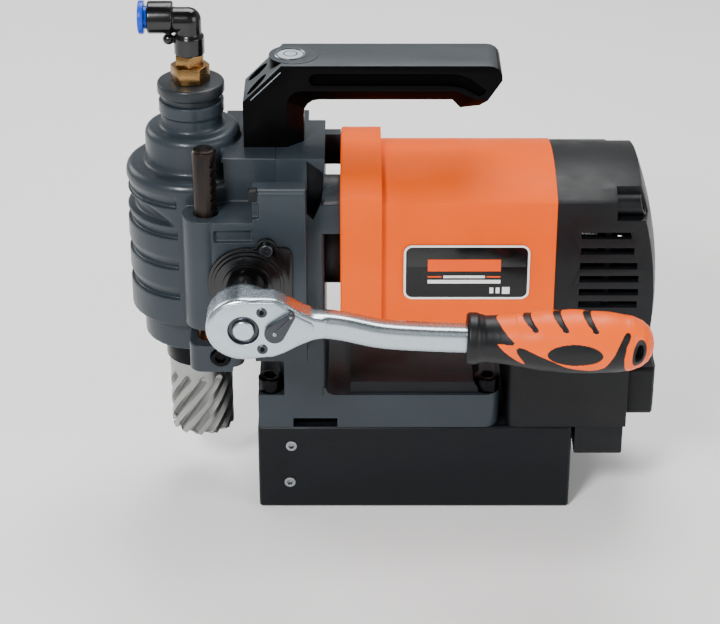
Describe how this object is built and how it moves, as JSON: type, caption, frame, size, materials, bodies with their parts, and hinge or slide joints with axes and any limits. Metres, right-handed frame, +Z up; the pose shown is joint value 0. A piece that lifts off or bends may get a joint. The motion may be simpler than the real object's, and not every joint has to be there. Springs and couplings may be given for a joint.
{
  "type": "magnetic drill press",
  "caption": "Portable drilling machine on an electromagnet base, with a horizontal motor, a geared vertical spindle, a rack fed quill worked by a ratchet wrench and a carry handle.",
  "frame": {"origin": "centre of the magnet's lower pole face, which clamps to the work", "axes": "+X runs from the spindle to the motor's rear end, +Y away from the feed wrench, +Z up, away from the work"},
  "size_m": [0.2868, 0.1715, 0.2791],
  "materials": {
    "casting_grey": "satin paint over sand casting",
    "magnet_black": "satin black coating",
    "housing_orange": "semi gloss paint",
    "moulded_black": "fine moulded texture",
    "soft_black": "matt rubber",
    "black_steel": "black oxide",
    "bright_steel": "ground steel",
    "satin_chrome": "satin chrome",
    "brass": "turned brass",
    "copper_wire": "enamelled winding, potted",
    "laminated_iron": "stacked sheet",
    "carbon": "sintered carbon",
    "grip_rubber": "two colour moulded grip",
    "collet_blue": "gloss",
    "fan_plastic": "moulded",
    "board_green": "coated board",
    "vial_yellow": "tinted liquid vial",
    "label_black": "printed film",
    "button_green": "gloss",
    "button_red": "gloss"
  },
  "bodies": {
    "machine": {"magnet_block": "magnet_black", "magnet_coil": "copper_wire", "magnet_side_screws": "bright_steel", "frame_casting": "casting_grey", "frame_screws": "black_steel", "head_casting": "casting_grey", "spindle_cap": "casting_grey", "pinion_cover": "moulded_black", "cover_screw": "black_steel", "gearbox_neck": "moulded_black", "motor_housing": "housing_orange", "motor_rear_cap": "moulded_black", "motor_screws": "black_steel", "gearbox_bearings": "bright_steel", "stator": "laminated_iron", "stator_windings": "copper_wire", "brush_holders": "moulded_black", "carbon_brushes": "carbon", "name_plate": "label_black", "control_box": "moulded_black", "motor_lead_grommet": "soft_black", "switch_panel": "moulded_black", "cable_cover": "moulded_black", "circuit_board": "board_green", "cable_gland": "soft_black", "carry_handle": "moulded_black", "handle_screws": "black_steel", "level_bezel": "bright_steel", "level_vial": "vial_yellow", "coolant_adapter": "brass", "fitting_stem": "brass"},
    "armature": {"armature_shaft": "bright_steel", "armature_core": "laminated_iron", "commutator": "brass", "cooling_fan": "fan_plastic"},
    "layshaft": {"bevel_shaft": "bright_steel", "layshaft_gear": "bright_steel"},
    "sleeve": {"drive_sleeve": "bright_steel"},
    "feed": {"rack_rod": "black_steel", "feed_yoke": "casting_grey", "yoke_screw": "black_steel", "quill": "black_steel", "quill_bearings": "bright_steel"},
    "spindle": {"spindle": "black_steel", "arbor_screws": "black_steel", "annular_cutter": "bright_steel"},
    "pilot": {"pilot_pin": "bright_steel"},
    "pinion": {"feed_pinion": "black_steel", "drive_anvil": "satin_chrome"},
    "drive_release": {"release_button": "satin_chrome"},
    "wrench": {"ratchet_wrench": "satin_chrome", "wrench_screws": "bright_steel", "handle_grip": "grip_rubber", "grip_collar": "soft_black"},
    "direction_lever": {"wrench_lever": "satin_chrome"},
    "elbow": {"elbow_body": "soft_black"},
    "collet": {"release_collet": "collet_blue"},
    "rocker": {"magnet_switch": "moulded_black"},
    "start": {"start_button": "button_green"},
    "stop": {"stop_button": "button_red"}
  },
  "joints": [
    {"name": "armature_spin", "type": "hinge", "parent": "machine", "child": "armature", "pos_m": [0, 0, 0.1495], "axis": [1, 0, 0], "continuous": true},
    {"name": "layshaft_spin", "type": "hinge", "parent": "machine", "child": "layshaft", "pos_m": [-0.06, 0, 0.1765], "axis": [1, 0, 0], "continuous": true},
    {"name": "sleeve_spin", "type": "hinge", "parent": "machine", "child": "sleeve", "pos_m": [-0.1175, 0, 0.18], "axis": [0, 0, 1], "continuous": true},
    {"name": "feed_slide", "type": "slide", "parent": "machine", "child": "feed", "axis": [0, 0, -1], "range_m": [0, 0.05]},
    {"name": "spindle_spin", "type": "hinge", "parent": "feed", "child": "spindle", "pos_m": [-0.1175, 0, 0.1], "axis": [0, 0, 1], "continuous": true},
    {"name": "pilot_slide", "type": "slide", "parent": "spindle", "child": "pilot", "axis": [0, 0, 1], "range_m": [0, 0.025], "stiffness_N_per_m": 300, "springref_m": -0.005},
    {"name": "pinion_spin", "type": "hinge", "parent": "machine", "child": "pinion", "pos_m": [-0.0875, -0.06, 0.147], "axis": [0, -1, 0], "range_deg": [0, 180]},
    {"name": "drive_release_press", "type": "slide", "parent": "pinion", "child": "drive_release", "axis": [0, 1, 0], "range_m": [0, 0.0025], "stiffness_N_per_m": 600},
    {"name": "wrench_swing", "type": "hinge", "parent": "machine", "child": "wrench", "pos_m": [-0.0875, -0.1, 0.147], "axis": [0, -1, 0], "range_deg": [-35, 215]},
    {"name": "direction_lever_turn", "type": "hinge", "parent": "wrench", "child": "direction_lever", "pos_m": [-0.0719, -0.109, 0.1465], "axis": [0, 1, 0], "range_deg": [0, 95]},
    {"name": "elbow_swivel", "type": "hinge", "parent": "machine", "child": "elbow", "pos_m": [-0.1175, 0, 0.26], "axis": [0, 0, 1], "continuous": true},
    {"name": "collet_press", "type": "slide", "parent": "elbow", "child": "collet", "axis": [1, 0, 0], "range_m": [0, 0.0012], "stiffness_N_per_m": 800},
    {"name": "magnet_rocker", "type": "hinge", "parent": "machine", "child": "rocker", "pos_m": [0.1216, -0.019, 0.0695], "axis": [0, 1, 0], "range_deg": [0, 14]},
    {"name": "start_press", "type": "slide", "parent": "machine", "child": "start", "axis": [-1, 0, 0], "range_m": [0, 0.0025], "stiffness_N_per_m": 500},
    {"name": "stop_press", "type": "slide", "parent": "machine", "child": "stop", "axis": [-1, 0, 0], "range_m": [0, 0.003], "stiffness_N_per_m": 500}
  ],
  "couplings": [
    {"joint": "layshaft_spin", "follows": "armature_spin", "ratio": -0.28571},
    {"joint": "sleeve_spin", "follows": "armature_spin", "ratio": 0.19048},
    {"joint": "spindle_spin", "follows": "armature_spin", "ratio": 0.19048},
    {"joint": "pinion_spin", "follows": "feed_slide", "rad_per_m": 60.606}
  ]
}
